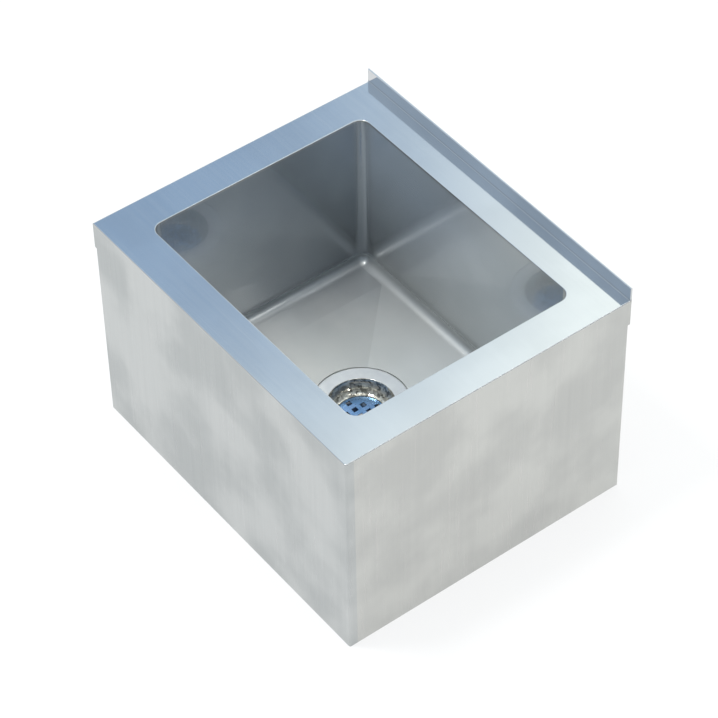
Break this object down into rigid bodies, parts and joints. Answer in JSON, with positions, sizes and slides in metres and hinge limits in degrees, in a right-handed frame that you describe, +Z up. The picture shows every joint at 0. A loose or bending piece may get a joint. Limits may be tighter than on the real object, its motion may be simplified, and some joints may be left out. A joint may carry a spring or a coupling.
{
  "type": "mop sink",
  "caption": "Floor-standing stainless mop sink with a deep coved bowl, a low rear flange, full skirt panels and a centre drain with a lift-out strainer grid.",
  "frame": {"origin": "on the floor, in the middle of the footprint", "axes": "+Z up, -Y to the front, the rear flange along +Y, the hemmed left lip on -X"},
  "size_m": [0.635, 0.5334, 0.4318],
  "materials": {
    "satin_deck": "smooth satin stainless sheet, nearly mirror-like, with fine grain",
    "satin_bowl": "satin stainless sheet with softly polished coves",
    "satin_panel": "satin stainless sheet with upright grain",
    "galvanised": "galvanised steel with a faint spangle",
    "rubber": "matt black rubber",
    "fibre": "red-brown pressed fibre",
    "brass": "turned brass",
    "polished_drain": "polished stainless",
    "pipe_steel": "drawn stainless pipe"
  },
  "bodies": {
    "sink": {"top_deck": "satin_deck", "bowl": "satin_bowl", "front_skirt": "satin_panel", "right_skirt": "satin_panel", "left_skirt": "satin_panel", "back_skirt": "satin_panel", "corner_angle_front_left": "galvanised", "corner_angle_front_right": "galvanised", "corner_angle_back_left": "galvanised", "corner_angle_back_right": "galvanised", "support_channel_left": "galvanised", "support_channel_right": "galvanised", "support_pad_left": "rubber", "support_pad_right": "rubber", "drain_body": "polished_drain", "flange_seal": "rubber", "drain_gasket": "rubber", "friction_washer": "fibre", "drain_locknut": "brass", "outlet_nipple": "pipe_steel"},
    "strainer": {"strainer_grid": "polished_drain"}
  },
  "joints": [
    {"name": "grid_lift", "type": "slide", "parent": "sink", "child": "strainer", "axis": [0, 0, 1], "range_m": [0, 0.36]}
  ]
}
